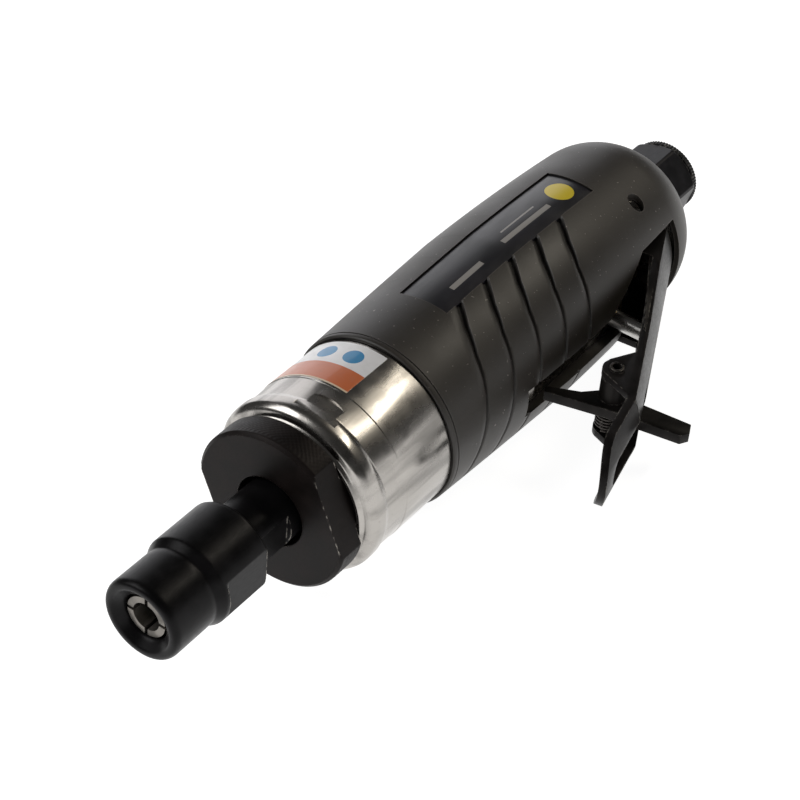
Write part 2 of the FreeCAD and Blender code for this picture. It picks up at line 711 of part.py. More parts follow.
low_roll, high_roll = 0.0, 45.0
while high_roll - low_roll > 0.001:
    roll = (low_roll + high_roll) / 2
    if lowest(roll) < size("grip_belly"):
        low_roll = roll
    else:
        high_roll = roll
rest = Placement(Vector(), Rotation(Vector(1, 0, 0), -roll))
for node in nodes:
    node.Placement = rest * node.Placement
box = FreeCAD.BoundBox()
for node in nodes:
    box.add(node.Shape.optimalBoundingBox(False))
lift = Placement(Vector(-box.Center.x, -box.Center.y, -box.ZMin), Rotation())
for node in nodes:
    node.Placement = lift * node.Placement
doc.recompute()

os.makedirs("parts", exist_ok=True)
for node in nodes:
    node.Shape.exportStep(f"parts/{node.Label}.step")
print("resting place: roll", roll, "lift", lift.Base, "size", box.XLength, box.YLength, box.ZLength)
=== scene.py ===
"""Looks of the die grinder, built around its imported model.

Tool coordinates are used throughout: a station is the distance back from the face of the collet,
an angle turns about the spindle axis from 0 at the lever to 90 degrees at the nameplate's side, and a
height and a place across it give a point by the lever's direction. They are in millimetres and degrees.
"""
import bmesh
import bpy
import json
import math

from mathutils import Matrix, Vector


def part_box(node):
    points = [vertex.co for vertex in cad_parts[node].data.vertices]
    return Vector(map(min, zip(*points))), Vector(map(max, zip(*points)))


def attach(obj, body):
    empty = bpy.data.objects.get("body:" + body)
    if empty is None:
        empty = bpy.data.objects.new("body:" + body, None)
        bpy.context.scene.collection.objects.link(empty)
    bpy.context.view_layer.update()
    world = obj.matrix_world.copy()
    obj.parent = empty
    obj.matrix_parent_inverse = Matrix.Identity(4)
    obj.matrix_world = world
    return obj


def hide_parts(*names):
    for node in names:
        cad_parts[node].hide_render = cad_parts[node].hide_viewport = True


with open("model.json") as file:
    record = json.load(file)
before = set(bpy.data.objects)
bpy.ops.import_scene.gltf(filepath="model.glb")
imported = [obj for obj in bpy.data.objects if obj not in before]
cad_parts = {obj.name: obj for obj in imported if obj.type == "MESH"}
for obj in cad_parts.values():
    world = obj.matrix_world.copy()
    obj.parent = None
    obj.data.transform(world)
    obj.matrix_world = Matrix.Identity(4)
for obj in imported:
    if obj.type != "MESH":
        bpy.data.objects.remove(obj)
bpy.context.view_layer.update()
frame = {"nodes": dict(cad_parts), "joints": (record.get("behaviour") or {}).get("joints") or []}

MM = 0.001
SHARP = math.radians(38)
FILLET_PIECES = 4

# ---------------------------------------------------------------- tool coordinates

joints = {joint["name"]: joint for joint in frame["joints"]}
AHEAD = Vector(joints["spindle_spin"]["axis"])
ACROSS = -Vector(joints["lever_press"]["axis"])
TOWARDS = ACROSS.cross(AHEAD)
MOUTH = Vector(joints["spindle_spin"]["pos_m"])
MOUTH.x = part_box("collet")[1].x + 0.2 * MM
ROLL = math.atan2(-TOWARDS.z, TOWARDS.y)


def at(station, height, across):
    """Point of the row frame for a station, a height towards the lever and a place across."""
    return MOUTH + (TOWARDS * height + ACROSS * across - AHEAD * station) * MM


def around(station, angle, radius):
    """Point of the row frame at an angle in degrees and a radius about the spindle axis."""
    turn = math.radians(angle)
    return at(station, radius * math.cos(turn), radius * math.sin(turn))


# ---------------------------------------------------------------- mesh helpers

def finish_piece(name, bm, body, slot, material, *replaced):
    """Turns a bmesh into a piece that rides a body and stands for CAD nodes."""
    bmesh.ops.recalc_face_normals(bm, faces=bm.faces)
    mesh = bpy.data.meshes.new(name)
    bm.to_mesh(mesh)
    bm.free()
    mesh.shade_smooth()
    mesh.set_sharp_from_angle(angle=SHARP)
    piece = bpy.data.objects.new(name, mesh)
    bpy.context.scene.collection.objects.link(piece)
    mesh.materials.append(material)
    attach(piece, body)
    if replaced:
        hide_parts(*replaced)
    return piece


def soften(corners):
    """Outline of (station, radius) points from (station, radius, fillet) corners."""
    points = []
    count = len(corners)
    for i, corner in enumerate(corners):
        here = Vector(corner[:2])
        fillet = corner[2] if len(corner) > 2 else 0.0
        if fillet == 0.0:
            points.append(tuple(here))
            continue
        before = Vector(corners[i - 1][:2]) - here
        after = Vector(corners[(i + 1) % count][:2]) - here
        start = here + before.normalized() * min(fillet, before.length * 0.49)
        end = here + after.normalized() * min(fillet, after.length * 0.49)
        for k in range(FILLET_PIECES + 1):
            t = k / FILLET_PIECES
            points.append(tuple(start * (1 - t) ** 2 + here * 2 * t * (1 - t) + end * t * t))
    return points


def divide(points, step):
    """Closed outline with its long runs split into pieces no longer than a step."""
    made = []
    for i, point in enumerate(points):
        here, there = Vector(point), Vector(points[(i + 1) % len(points)])
        runs = max(1, math.ceil((there - here).length / step))
        made += [tuple(here.lerp(there, k / runs)) for k in range(runs)]
    return made


def lathe(outline, steps, shape=None):
    """Closed outline of (station, radius) points turned about the spindle axis. shape(station, angle,
    radius) gives the radius of a piece that isn't round."""
    bm = bmesh.new()
    rings = []
    for station, radius in outline:
        if radius < 1e-6:
            rings.append([bm.verts.new(around(station, 0, 0))] * steps)
            continue
        ring = []
        for k in range(steps):
            angle = 360 * k / steps
            reach = shape(station, angle, radius) if shape else radius
            ring.append(bm.verts.new(around(station, angle, reach)))
        rings.append(ring)
    for i, ring in enumerate(rings):
        other = rings[(i + 1) % len(rings)]
        for k in range(steps):
            after = (k + 1) % steps
            corners = [ring[k], ring[after], other[after], other[k]]
            corners = [v for j, v in enumerate(corners) if v not in corners[:j]]
            if len(corners) > 2:
                bm.faces.new(corners)
    return bm


def flat(radius, angle, half, turns):
    """Radius of a turned piece where flats at a half width, facing the turns, cut it."""
    for turn in turns:
        facing = math.cos(math.radians(angle - turn))
        if facing > 0 and radius * facing > half:
            radius = half / facing
    return radius


def block(first, second):
    """Closed block between two outlines that have as many points."""
    bm = bmesh.new()
    near = [bm.verts.new(point) for point in first]
    far = [bm.verts.new(point) for point in second]
    bm.faces.new(near)
    bm.faces.new(reversed(far))
    for i in range(len(near)):
        j = (i + 1) % len(near)
        bm.faces.new([near[i], far[i], far[j], near[j]])
    return bm


def slab(bm, lower, upper):
    """Closes two grids of vertices, one over the other, into a thin panel."""
    rows, spots = len(lower) - 1, len(lower[0]) - 1
    for layer in (lower, upper):
        for i in range(rows):
            for k in range(spots):
                bm.faces.new([layer[i][k], layer[i + 1][k], layer[i + 1][k + 1], layer[i][k + 1]])
    for i in range(rows):
        for k in (0, spots):
            bm.faces.new([lower[i][k], upper[i][k], upper[i + 1][k], lower[i + 1][k]])
    for k in range(spots):
        for i in (0, rows):
            bm.faces.new([lower[i][k], upper[i][k], upper[i][k + 1], lower[i][k + 1]])


def circle(x, y, radius, steps):
    """Points of a circle, starting on its x side."""
    turns = [2 * math.pi * k / steps for k in range(steps)]
    return [(x + radius * math.cos(turn), y + radius * math.sin(turn)) for turn in turns]


def prism(plan, low, high):
    """Closed block with a (station, across) outline between two heights."""
    return block([at(s, low, w) for s, w in plan], [at(s, high, w) for s, w in plan])


def rod(station, height, radius, low, high):
    """Closed cylinder that lies across the tool."""
    outline = circle(station, height, radius, 48)
    return block([at(s, h, low) for s, h in outline], [at(s, h, high) for s, h in outline])


def carve(bm, cutters):
    """The bmesh with the cutters taken out of it."""

    def as_object(part, name):
        bmesh.ops.recalc_face_normals(part, faces=part.faces)
        mesh = bpy.data.meshes.new(name)
        part.to_mesh(mesh)
        part.free()
        thing = bpy.data.objects.new(name, mesh)
        bpy.context.scene.collection.objects.link(thing)
        return thing

    stock = as_object(bm, "carved_block")
    tools = [as_object(cutter, "carving_tool") for cutter in cutters]
    for tool in tools:
        cut = stock.modifiers.new("cut", "BOOLEAN")
        cut.operation = "DIFFERENCE"
        cut.solver = "EXACT"
        cut.object = tool
    evaluated = stock.evaluated_get(bpy.context.evaluated_depsgraph_get())
    result = bmesh.new()
    result.from_mesh(evaluated.to_mesh())
    for thing in [stock] + tools:
        bpy.data.objects.remove(thing)
    return result


def refined(node, width, segments=3):
    """The CAD node's surface, with its flat faces whole again and its edges rounded."""
    flatness, corner = math.radians(1.5), math.radians(35)
    bm = bmesh.new()
    bm.from_mesh(frame["nodes"][node].data)
    bmesh.ops.remove_doubles(bm, verts=bm.verts, dist=1e-6)
    bmesh.ops.dissolve_limit(bm, angle_limit=flatness, verts=bm.verts, edges=bm.edges)
    edges = [e for e in bm.edges if len(e.link_faces) == 2 and e.calc_face_angle() > corner]
    bmesh.ops.bevel(bm, geom=edges, offset=width * MM, segments=segments, profile=0.5,
                    affect="EDGES", clamp_overlap=True)
    return bm


def circumcentre(points):
    """Centre and radius of the circle through three points."""
    a, b, c = (Vector(p) for p in points)
    aa, bb, cc = a.length_squared, b.length_squared, c.length_squared
    d = 2 * (a.x * (b.y - c.y) + b.x * (c.y - a.y) + c.x * (a.y - b.y))
    centre = Vector(((aa * (b.y - c.y) + bb * (c.y - a.y) + cc * (a.y - b.y)) / d,
                     (aa * (c.x - b.x) + bb * (a.x - c.x) + cc * (b.x - a.x)) / d))
    return centre, (a - centre).length


def arc(start, middle, end, count):
    """Points along the circle through three points, end left out."""
    centre, reach = circumcentre((start, middle, end))
    first = math.atan2(start[1] - centre.y, start[0] - centre.x)
    last = math.atan2(end[1] - centre.y, end[0] - centre.x)
    turns = [first + (last - first) * k / count for k in range(count)]
    return [(centre.x + reach * math.cos(turn), centre.y + reach * math.sin(turn)) for turn in turns]


def circle_height(points):
    """Function that gives the radius at a station on the circle through three points."""
    centre, reach = circumcentre(points)
    return lambda station: centre.y + math.sqrt(reach ** 2 - (station - centre.x) ** 2)


def ease(value, low, high):
    """Smooth step from 0 at low to 1 at high."""
    t = min(1.0, max(0.0, (value - low) / (high - low)))
    return t * t * (3 - 2 * t)


# ---------------------------------------------------------------- materials

class Nodes:
    """Short way to write a node tree: every call adds a node and links its inputs."""

    def __init__(self, name):
        self.material = bpy.data.materials.new(name)
        self.material.use_nodes = True
        self.tree = self.material.node_tree
        self.shader = next(n for n in self.tree.nodes if n.type == "BSDF_PRINCIPLED")
        coordinates = self.tree.nodes.new("ShaderNodeTexCoord")
        place = self.tree.nodes.new("ShaderNodeMapping")
        place.vector_type = "TEXTURE"
        place.inputs["Location"].default_value = MOUTH
        place.inputs["Rotation"].default_value = (-ROLL, 0, 0)
        self.tree.links.new(coordinates.outputs["Object"], place.inputs["Vector"])
        self.tool = place.outputs[0]

    @staticmethod
    def colour(value):
        """Three colour values with full opacity, anything else as it is."""
        return value + (1.0,) if isinstance(value, tuple) and len(value) == 3 else value

    def feed(self, socket, value):
        """Links a socket to another one, or sets it to a constant."""
        if isinstance(value, bpy.types.NodeSocket):
            self.tree.links.new(value, socket)
        else:
            socket.default_value = value

    def node(self, kind, output=0, settings=None, **inputs):
        """New node's output. An input is named by its label, or as i0, i1 and so on by its place."""
        made = self.tree.nodes.new("ShaderNode" + kind)
        for key, value in (settings or {}).items():
            setattr(made, key, value)
        for key, value in inputs.items():
            by_place = key[0] == "i" and key[1:].isdigit()
            self.feed(made.inputs[int(key[1:]) if by_place else key.replace("_", " ")], value)
        return made.outputs[output]

    def split(self):
        """The three tool coordinates, in metres: minus the station, the height and the place across."""
        apart = self.tree.nodes.new("ShaderNodeSeparateXYZ")
        self.tree.links.new(self.tool, apart.inputs[0])
        return apart.outputs

    def stretch(self, scale):
        """Tool coordinates with each axis scaled."""
        return self.node("Mapping", Vector=self.tool, Scale=scale)

    def noise(self, scale, detail=4.0, vector=None, rough=0.5):
        return self.node("TexNoise", Vector=vector or self.tool, Scale=scale, Detail=detail,
                         Roughness=rough)

    def math(self, operation, first, second=0.0, third=0.0, clamp=False):
        return self.node("Math", settings={"operation": operation, "use_clamp": clamp},
                         i0=first, i1=second, i2=third)

    def ramp(self, factor, low, high, dark=0.0, light=1.0):
        """Smooth step of a factor from dark at low to light at high."""
        return self.node("MapRange", settings={"interpolation_type": "SMOOTHSTEP"}, Value=factor,
                         From_Min=low, From_Max=high, To_Min=dark, To_Max=light)

    def mix(self, factor, first, second):
        mixed = self.tree.nodes.new("ShaderNodeMix")
        mixed.data_type = "RGBA"
        for place, value in ((0, factor), (6, first), (7, second)):
            self.feed(mixed.inputs[place], self.colour(value))
        return mixed.outputs[2]

    def edges(self, reach):
        """1 along edges, out to a reach in millimetres."""
        rounded = self.node("Bevel", settings={"samples": 6}, Radius=reach * MM)
        straight = self.node("NewGeometry", output="Normal")
        along = self.node("VectorMath", output="Value", settings={"operation": "DOT_PRODUCT"},
                          i0=rounded, i1=straight)
        return self.ramp(self.math("SUBTRACT", 1.0, along), 0.02, 0.16)

    def bump(self, height, distance, strength):
        """Normal bent by a height, over a distance in metres."""
        return self.node("Bump", Height=height, Distance=distance, Strength=strength)

    def set(self, **values):
        """The material, once the shader's own sockets are fed."""
        for key, value in values.items():
            self.feed(self.shader.inputs[key.replace("_", " ")], value)
        return self.material


WORN_STEEL = (0.62, 0.58, 0.52)
PIT_GRIME = (0.10, 0.08, 0.06)
DUST = (0.32, 0.29, 0.26)
RUBBED_RUBBER = (0.20, 0.18, 0.165)


def black_oxide(name, colour, rough, wear, metal=0.75):
    """Blackened steel: faint blotches, fine scratches, and bright edges where the black is rubbed off."""
    n = Nodes(name)
    blotch = n.noise(220, 5)
    scratch = n.noise(2600, 3, n.stretch((0.25, 1, 1)))
    fine = n.noise(5200, 2)
    worn = n.math("MULTIPLY", n.edges(0.45), n.ramp(n.noise(700, 4), 0.42, 0.62))
    worn = n.math("MULTIPLY", worn, wear, clamp=True)
    light = tuple(min(1.0, c * 1.9) for c in colour)
    base = n.mix(n.ramp(blotch, 0.35, 0.7), colour, light)
    base = n.mix(worn, base, WORN_STEEL)
    roughness = n.math("ADD", n.ramp(scratch, 0.3, 0.7, rough - 0.03, rough + 0.04),
                       n.ramp(blotch, 0.3, 0.7, -0.03, 0.03))
    normal = n.bump(n.math("ADD", n.math("MULTIPLY", scratch, 0.35), fine), 0.000008, 0.35)
    return n.set(Base_Color=base, Metallic=metal, Roughness=roughness, Specular_IOR_Level=0.12,
                 Normal=normal)


def polished(name, colour, rough):
    """Turned and polished metal: fine rings from the lathe, streaks along it and small pits."""
    n = Nodes(name)
    rings = n.noise(2600, 2, n.stretch((1, 0.02, 0.02)))
    cloud = n.noise(140, 5)
    streak = n.noise(260, 3, n.stretch((0.10, 1, 1)))
    pits = n.ramp(n.noise(2400, 2), 0.70, 0.78)
    dark = tuple(c * 0.62 for c in colour)
    base = n.mix(n.ramp(streak, 0.40, 0.66), colour, dark)
    base = n.mix(n.math("MULTIPLY", pits, 0.7), base, PIT_GRIME)
    roughness = n.math("ADD", n.ramp(cloud, 0.3, 0.7, rough - 0.05, rough + 0.08),
                       n.ramp(streak, 0.35, 0.7, 0.0, 0.08))
    height = n.math("SUBTRACT", n.math("MULTIPLY", rings, 0.5), pits)
    return n.set(Base_Color=base, Metallic=1.0, Roughness=roughness,
                 Normal=n.bump(height, 0.000003, 0.2))


def moulded_rubber(name, colour, rough):
    """Soft-touch sleeve: fine moulded grain, slow changes of tone, dust specks, paler worn edges and
    painted shade that darkens its grooves and creases."""
    n = Nodes(name)
    tone = n.noise(55, 4)
    grain = n.noise(3200, 3, rough=0.7)
    specks = n.ramp(n.noise(1500, 1), 0.74, 0.78)
    scuffs = n.ramp(n.noise(420, 6, n.stretch((0.35, 1, 1))), 0.60, 0.78)
    light = tuple(c * 1.35 for c in colour)
    base = n.mix(n.ramp(tone, 0.3, 0.72), colour, light)
    base = n.mix(n.math("MULTIPLY", scuffs, 0.25), base, tuple(c * 1.8 for c in colour))
    base = n.mix(n.math("MULTIPLY", specks, 0.5), base, DUST)
    base = n.mix(n.math("MULTIPLY", n.edges(0.35), 0.35), base, RUBBED_RUBBER)
    # Painted shade: an ambient-occlusion mask darkens the rubber to 0.18 of its colour in the grooves,
    # creases and recesses where shade falls.
    occlusion_shade = n.node("AmbientOcclusion", output="AO", settings={"samples": 8}, Distance=0.002)
    base = n.mix(n.ramp(occlusion_shade, 0.35, 0.85), tuple(c * 0.18 for c in colour), base)
    roughness = n.ramp(tone, 0.3, 0.7, rough - 0.04, rough + 0.06)
    normal = n.bump(grain, 0.00003, 0.55)
    return n.set(Base_Color=base, Roughness=roughness, Specular_IOR_Level=0.45, Normal=normal)


def plain_metal(name, colour, rough):
    """Ground or turned internal piece."""
    n = Nodes(name)
    lay = n.noise(1800, 3, n.stretch((1, 0.1, 0.1)))
    base = n.mix(n.ramp(lay, 0.35, 0.65), colour, tuple(c * 0.75 for c in colour))
    return n.set(Base_Color=base, Metallic=1.0, Roughness=n.ramp(lay, 0.3, 0.7, rough, rough + 0.15),
                 Normal=n.bump(lay, 0.00001, 0.5))


def soft_matter(name, colour, rough, scale, depth):
    """Felt, fibre resin or seal rubber, by the scale and depth of its grain."""
    n = Nodes(name)
    grain = n.noise(scale, 5)
    base = n.mix(n.ramp(grain, 0.35, 0.65), colour, tuple(c * 0.6 for c in colour))
    return n.set(Base_Color=base, Roughness=rough, Normal=n.bump(grain, depth, 0.6))


# ---------------------------------------------------------------- camera, floor and lights

CAMERA_TARGET = Vector((0.00693, -0.01792, 0.01717))
CAMERA_AZIMUTH, CAMERA_ELEVATION, CAMERA_ROLL = 42.638, 30.142, -11.883
CAMERA_DISTANCE = 0.4702
CAMERA_LENS, SENSOR_WIDTH = 105.24, 36.0
FLOOR_HALF = 3.0
WARM = (1.0, 0.93, 0.80)
# name, place in metres, width and height, power in watts, and colour
LIGHTS = (
    ("key_box", (0.45, -0.35, 0.62), (0.5, 0.5), 3.0, (1, 1, 1)),
    ("back_left_wall", (-0.60, -0.63, 0.37), (0.8, 0.75), 2.6, (0.97, 0.97, 1.0)),
    ("strip_left", (-0.57, 0.375, 0.615), (0.5, 0.06), 0.9, WARM),
    ("strip_right", (-0.57, 0.465, 0.555), (0.5, 0.06), 0.9, WARM),
)


def aim(thing, position, target, roll=0.0):
    """Puts a camera or a light at a position, facing the target, and rolls it by degrees."""
    back = (position - target).normalized()
    thing.rotation_mode = "QUATERNION"
    thing.rotation_quaternion = (-back).to_track_quat("-Z", "Y") @ Matrix.Rotation(
        math.radians(roll), 3, "Z").to_quaternion()
    thing.location = position


def make_camera():
    """Camera that sees the tool as the photograph does."""
    azimuth, elevation = math.radians(CAMERA_AZIMUTH), math.radians(CAMERA_ELEVATION)
    back = Vector((math.cos(elevation) * math.cos(azimuth), math.cos(elevation) * math.sin(azimuth),
                   math.sin(elevation)))
    camera = bpy.data.objects.new("camera", bpy.data.cameras.new("camera"))
    bpy.context.scene.collection.objects.link(camera)
    camera.data.lens = CAMERA_LENS
    camera.data.sensor_width = SENSOR_WIDTH
    aim(camera, CAMERA_TARGET + back * CAMERA_DISTANCE, CAMERA_TARGET, CAMERA_ROLL)
    bpy.context.scene.camera = camera


def area_light(name, position, size, power, colour):
    """Rectangular light that faces the tool."""
    data = bpy.data.lights.new(name, "AREA")
    data.shape = "RECTANGLE"
    data.size, data.size_y = size
    data.energy = power
    data.color = colour
    light = bpy.data.objects.new(name, data)
    bpy.context.scene.collection.objects.link(light)
    aim(light, Vector(position), Vector((0, 0, 0.02)))


def make_stage():
    """White floor, a faint even world and the studio lights."""
    bm = bmesh.new()
    bmesh.ops.create_grid(bm, x_segments=8, y_segments=8, size=FLOOR_HALF)
    mesh = bpy.data.meshes.new("studio_floor")
    bm.to_mesh(mesh)
    bm.free()
    floor = bpy.data.objects.new("studio_floor", mesh)
    bpy.context.scene.collection.objects.link(floor)
    paper = bpy.data.materials.new("paper")
    paper.use_nodes = True
    shader = next(n for n in paper.node_tree.nodes if n.type == "BSDF_PRINCIPLED")
    shader.inputs["Base Color"].default_value = (0.45, 0.45, 0.45, 1)
    shader.inputs["Roughness"].default_value = 0.9
    shader.inputs["Emission Color"].default_value = (1, 1, 1, 1)
    shader.inputs["Emission Strength"].default_value = 0.95
    mesh.materials.append(paper)
    world = bpy.data.worlds.new("studio")
    world.use_nodes = True
    background = world.node_tree.nodes["Background"]
    background.inputs["Color"].default_value = (1.0, 0.985, 0.965, 1)
    background.inputs["Strength"].default_value = 0.045
    bpy.context.scene.world = world
    bpy.context.scene.view_settings.view_transform = "Standard"
    for light in LIGHTS:
        area_light(*light)


make_camera()
make_stage()


# ---------------------------------------------------------------- grip sleeve and its inlay

# (station, radius) points that the outline of the grip passes through, from front to rear
GRIP_FRONT = (68.1, 19.3)
QUARTER = (87.0, 20.12)
BELLY = (108.0, 20.9)
HAUNCH = (134.0, 20.42)
SHOULDER = (152.0, 19.45)
CROWN = (160.6, 16.15)
GRIP_RIM = (165.6, 10.0)
LIP_REAR = 69.62
LEVER_PIN = (144.0, 10.9)
PLATE_TURN = 95.0
PLATE_HALF = 5.6
PLATE_FRONT, PLATE_REAR = 84.5, 137.4
# where the first grip groove runs, as (angle, station), and how far behind it each next one lies
GROOVE_LINE = ((78, 89.1), (65, 85.6), (49, 82.6), (30, 80.6), (14, 78.9), (-11, 75.9), (-40, 74.2),
               (-75, 73.4))
GROOVE_PITCH = 8.9
GROOVES = 5


front_half = circle_height((GRIP_FRONT, QUARTER, BELLY))
rear_half = circle_height((BELLY, HAUNCH, SHOULDER))


def grip_radius(station):
    """Radius of the grip's barrel, without its grooves."""
    return front_half(station) if station < BELLY[0] else rear_half(station)


def groove_station(number, angle):
    """Middle of a groove at an angle from -180 to 180: straight from point to point."""
    line = GROOVE_LINE
    shift = GROOVE_PITCH * number
    if angle >= line[0][0]:
        return line[0][1] + shift
    for (a0, s0), (a1, s1) in zip(line, line[1:]):
        if angle >= a1:
            return s0 + (s1 - s0) * (a0 - angle) / (a0 - a1) + shift
    return line[-1][1] + shift


def groove_size(angle):
    """Width of the run down into a groove, width of the step out of it, and its depth."""
    top = ease(angle, 30, 80)
    gone = ease(angle, -80, -45) * (1 - ease(angle, 96, 108))
    return 0.7 + 1.2 * top, 0.25 + 0.25 * ease(angle, 66, 80), (0.38 + 0.67 * top) * gone


def grip_outline(angle):
    """Closed (station, radius) outline of the grip at an angle: lip, grooves, dome and hollow."""
    down, out, depth = groove_size(angle)
    front = GRIP_FRONT[0]
    columns = [(front, 0.35), (front + 0.12, 0.12), (front + 0.35, 0.0),
               (69.2, 0.0), (69.32, 0.22), (69.5, 0.22), (LIP_REAR, 0.0)]
    last = LIP_REAR
    for number in range(GROOVES):
        middle = groove_station(number, angle)
        start = middle - down
        columns += [(last + (start - last) * i / 7, 0.0) for i in range(1, 7)]
        columns += [(start, 0.0), (start + down * 0.12, depth * 0.12),
                    (start + down * 0.35, depth * 0.75), (start + down * 0.60, depth), (middle, depth),
                    (middle + out * 0.30, depth * 0.75), (middle + out * 0.70, depth * 0.10),
                    (middle + out, -0.01), (middle + out + 0.5, 0.0)]
        last = middle + out + 0.5
    columns += [(last + (SHOULDER[0] - last) * i / 14, 0.0) for i in range(1, 14)]
    outline = [(s, grip_radius(s) - d) for s, d in columns]
    outline += arc(SHOULDER, CROWN, GRIP_RIM, 24)
    return outline + [
        GRIP_RIM, (165.82, 9.86), (165.86, 9.72), (165.8, 9.6), (164.3, 9.6), (164.3, 9.9),
        (162.4, 12.8), (158.3, 16.2), (153.2, 18.05), (151.0, 18.45), (69.0, 18.45), (68.2, 18.45)]


def make_grip():
    """Grooved sleeve, cut out for the latch, the lever and the name plate."""
    bm = bmesh.new()
    steps = 360
    rings = []
    for k in range(steps):
        angle = -180 + 360 * k / steps
        rings.append([bm.verts.new(around(s, angle, r)) for s, r in grip_outline(angle)])
    for k, ring in enumerate(rings):
        other = rings[(k + 1) % steps]
        for i in range(len(ring)):
            j = (i + 1) % len(ring)
            bm.faces.new([ring[i], ring[j], other[j], other[i]])
    mouth = [(92.2, -3.4), (92.2, 3.4), (122.2, 3.4), (138.0, 10.5), (151.9, 10.5), (151.9, -10.5),
             (129.0, -10.5), (129.0, -3.4)]
    cutters = [prism(mouth, 5, 30), rod(*LEVER_PIN, 1.9, -24, 24),
               inlay(PLATE_HALF + 0.08, 0.08, 1.2, -3.0)]
    finish_piece("grip_shell", carve(bm, cutters), "housing", "grip_rubber",
                 moulded_rubber("grip_rubber", (0.0225, 0.0192, 0.0160), 0.44), "grip_sleeve")


def inlay(half, gap, low, high):
    """Panel that follows the grip, between two depths under its surface."""
    bm = bmesh.new()
    layers = []
    rows, spots = 60, 14
    for depth in (low, high):
        layer = []
        for i in range(rows + 1):
            station = PLATE_FRONT - gap + (PLATE_REAR - PLATE_FRONT + 2 * gap) * i / rows
            reach = grip_radius(station) - depth
            line = []
            for k in range(spots + 1):
                side = half * (2 * k / spots - 1)
                angle = PLATE_TURN + math.degrees(math.asin(side / reach))
                line.append(bm.verts.new(around(station, angle, reach)))
            layer.append(line)
        layers.append(layer)
    slab(bm, *layers)
    return bm


def inlay_plastic():
    """Gloss black inlay with plain printed marks: a round dot and three blank bars."""
    n = Nodes("inlay_gloss")
    x, y, z = n.split()
    turn = math.radians(PLATE_TURN - 90)
    side = n.math("ADD", n.math("MULTIPLY", y, math.cos(turn)), n.math("MULTIPLY", z, math.sin(turn)))

    def box_mask(front, rear, low, high):
        """1 between two stations and two places across the inlay, in millimetres."""
        inside = n.math("MULTIPLY", n.math("LESS_THAN", x, -front * MM),
                        n.math("GREATER_THAN", x, -rear * MM))
        across = n.math("MULTIPLY", n.math("GREATER_THAN", side, low * MM),
                        n.math("LESS_THAN", side, high * MM))
        return n.math("MULTIPLY", inside, across)

    dot_station, dot_side, dot_radius = 132.3, 0.6, 3.1
    dx = n.math("MULTIPLY", n.math("ADD", x, dot_station * MM), 1000 / dot_radius)
    dy = n.math("MULTIPLY", n.math("SUBTRACT", side, dot_side * MM), 1000 / dot_radius)
    dot = n.math("LESS_THAN", n.math("ADD", n.math("POWER", dx, 2.0), n.math("POWER", dy, 2.0)), 1.0)
    bars = None
    for front, rear, low, high in ((109.5, 126.5, 1.2, 2.4), (112.0, 124.0, -0.6, -0.2),
                                   (91.0, 101.5, 1.6, 2.8)):
        mask = box_mask(front, rear, low, high)
        bars = mask if bars is None else n.math("MAXIMUM", bars, mask)
    cloud = n.noise(90, 4)
    base = n.mix(n.ramp(cloud, 0.3, 0.7), (0.010, 0.010, 0.013), (0.016, 0.015, 0.020))
    base = n.mix(n.math("MULTIPLY", bars, 0.75), base, (0.42, 0.40, 0.38))
    base = n.mix(dot, base, (0.72, 0.56, 0.03))
    smear = n.ramp(n.noise(600, 5, n.stretch((0.3, 1, 1))), 0.4, 0.7, 0.28, 0.36)
    return n.set(Base_Color=base, Roughness=smear, Coat_Weight=0.15, Coat_Roughness=0.2,
                 Normal=n.bump(n.noise(1200, 2), 0.000006, 0.4))


make_grip()
finish_piece("name_inlay", inlay(PLATE_HALF, 0.0, 1.15, 0.4), "housing", "nameplate_black",
             inlay_plastic(), "nameplate")


# ---------------------------------------------------------------- motor housing, clamp nut and label

BARREL = 18.6
HOUSING_FLATS = (85.0, 265.0)
FLAT_FRONT, FLAT_REAR = 45.4, 50.9
FLAT_HALF_WIDTH, FLAT_HALF_SPAN = 18.1, 4.8
CLAMP_FLATS = (25.0, 205.0)
WELL_STATION = 127.0
# (radius, lowest height, highest height) of each step of the valve's well
WELL_STEPS = ((5.02, -20, -11.6), (4.1, -13, 6.0), (4.23, 5.9, 9.0))
LABEL_FRONT, LABEL_MIDDLE, LABEL_DOTS = 54.0, 59.7, (98.2, 118.0)


def wrench_flat(turn):
    """Block that mills a flat with a rounded end into the housing behind its bead."""
    sides = [FLAT_HALF_SPAN - 0.4 * k for k in range(25)]
    end = [(FLAT_REAR - 1.1 * (side / 4.2) ** 2, side) for side in sides]
    plan = [(FLAT_FRONT, FLAT_HALF_SPAN)] + end + [(FLAT_FRONT, -FLAT_HALF_SPAN)]
    cutter = prism(plan, FLAT_HALF_WIDTH, 22)
    bmesh.ops.rotate(cutter, verts=cutter.verts, cent=MOUTH,
                     matrix=Matrix.Rotation(math.radians(turn), 3, AHEAD))
    return cutter


